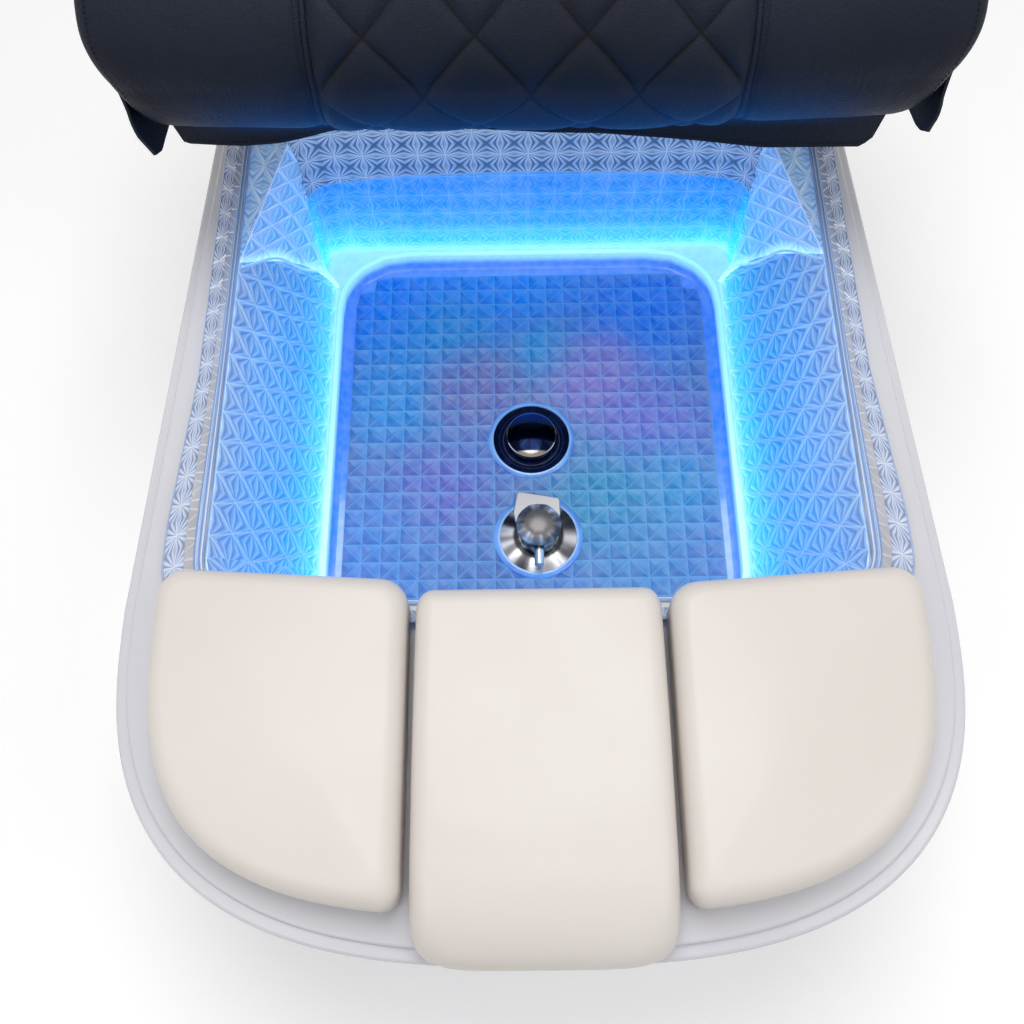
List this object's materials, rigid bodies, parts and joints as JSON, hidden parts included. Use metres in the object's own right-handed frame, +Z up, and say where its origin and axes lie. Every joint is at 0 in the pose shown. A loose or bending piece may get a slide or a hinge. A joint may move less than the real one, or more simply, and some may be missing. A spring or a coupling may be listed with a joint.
{
  "type": "pedicure bench",
  "caption": "Boat-shaped pedicure bench with a crystal-pattern foot bowl, lit well, drain, filler, cream footrest pads and a quilted sliding seat on a rear pedestal.",
  "frame": {"origin": "on the ground, under the middle of the overall box", "axes": "+X to the right as the bench is seen from its front, +Y from the front to the rear, +Z up"},
  "size_m": [0.7726, 1.18, 0.6243],
  "materials": {
    "shell": "high gloss moulded acrylic",
    "crystal": "clear crystal-pattern acrylic, lit blue",
    "crystal_rim": "clear faceted acrylic",
    "light": "silicone light strip",
    "frame_steel": "black powder coat",
    "zinc": "zinc plated",
    "rubber": "matte",
    "black_plastic": "moulded",
    "dark_chrome": "black chrome",
    "chrome": "polished",
    "brass": "turned",
    "pipe_grey": "extruded pipe",
    "panel": "satin sheet",
    "cream_vinyl": "glossy upholstery vinyl",
    "plywood": "raw birch ply",
    "navy_leather": "fine grain, semi gloss"
  },
  "bodies": {
    "base": {"deck_shell": "shell", "base_skirt": "shell", "seat_pedestal": "shell", "basin_bowl": "crystal", "rim_band": "crystal_rim", "light_strip": "light", "chassis_rails": "frame_steel", "chassis_cross_tubes": "frame_steel", "seat_beams": "frame_steel", "seat_brake_strip": "frame_steel", "foot_stems": "zinc", "seat_rail_channels": "zinc", "beam_bolts": "zinc", "panel_screws": "zinc", "light_driver_screws": "zinc", "foot_pads": "rubber", "bowl_support_blocks": "rubber", "drain_gasket": "rubber", "filler_gasket": "rubber", "light_driver": "black_plastic", "power_inlet": "black_plastic", "deck_grommets": "black_plastic", "footrest_sleeves": "black_plastic", "drain_nut": "black_plastic", "drain_flange": "dark_chrome", "filler_plate": "chrome", "filler_body": "chrome", "filler_spout": "chrome", "water_inlet_left": "brass", "water_inlet_right": "brass", "filler_nut": "brass", "waste_pipe": "pipe_grey", "hot_supply_pipe": "pipe_grey", "cold_supply_pipe": "pipe_grey", "rear_service_panel": "panel"},
    "stopper": {"drain_stopper": "dark_chrome"},
    "knob": {"filler_knob": "chrome"},
    "pad_left": {"footrest_pad_left": "cream_vinyl", "pad_board_left": "plywood", "pad_pegs_left": "zinc"},
    "pad_right": {"footrest_pad_right": "cream_vinyl", "pad_board_right": "plywood", "pad_pegs_right": "zinc"},
    "footrest": {"footrest_pad_centre": "cream_vinyl", "pad_board_centre": "plywood", "footrest_posts": "zinc", "footrest_tie_bar": "frame_steel"},
    "seat": {"seat_slide_bars": "zinc", "seat_board": "plywood", "seat_cushion_centre": "navy_leather", "seat_bolster_left": "navy_leather", "seat_bolster_right": "navy_leather", "seat_side_flap_left": "navy_leather", "seat_side_flap_right": "navy_leather", "front_valance": "navy_leather", "seat_latch_bracket": "zinc"},
    "latch": {"seat_latch_lever": "zinc", "seat_latch_shoe": "rubber", "seat_latch_grip": "black_plastic"}
  },
  "joints": [
    {"name": "stopper_press", "type": "slide", "parent": "base", "child": "stopper", "axis": [0, 0, 1], "range_m": [-0.008, 0]},
    {"name": "knob_turn", "type": "hinge", "parent": "base", "child": "knob", "pos_m": [0.006, -0.134, 0.13], "axis": [0, 0, 1], "range_deg": [-45, 45]},
    {"name": "footrest_lift", "type": "slide", "parent": "base", "child": "footrest", "axis": [0, 0, 1], "range_m": [0, 0.09]},
    {"name": "pad_left_lift", "type": "slide", "parent": "base", "child": "pad_left", "axis": [0, 0, 1], "range_m": [0, 0.06]},
    {"name": "pad_right_lift", "type": "slide", "parent": "base", "child": "pad_right", "axis": [0, 0, 1], "range_m": [0, 0.06]},
    {"name": "seat_slide", "type": "slide", "parent": "base", "child": "seat", "axis": [0, -1, 0], "range_m": [0, 0.1]},
    {"name": "latch_turn", "type": "hinge", "parent": "seat", "child": "latch", "pos_m": [0.262, 0.353, 0.4513], "axis": [0, 1, 0], "range_deg": [0, 8], "stiffness_Nm_per_rad": 1, "springref_deg": -20.05}
  ]
}
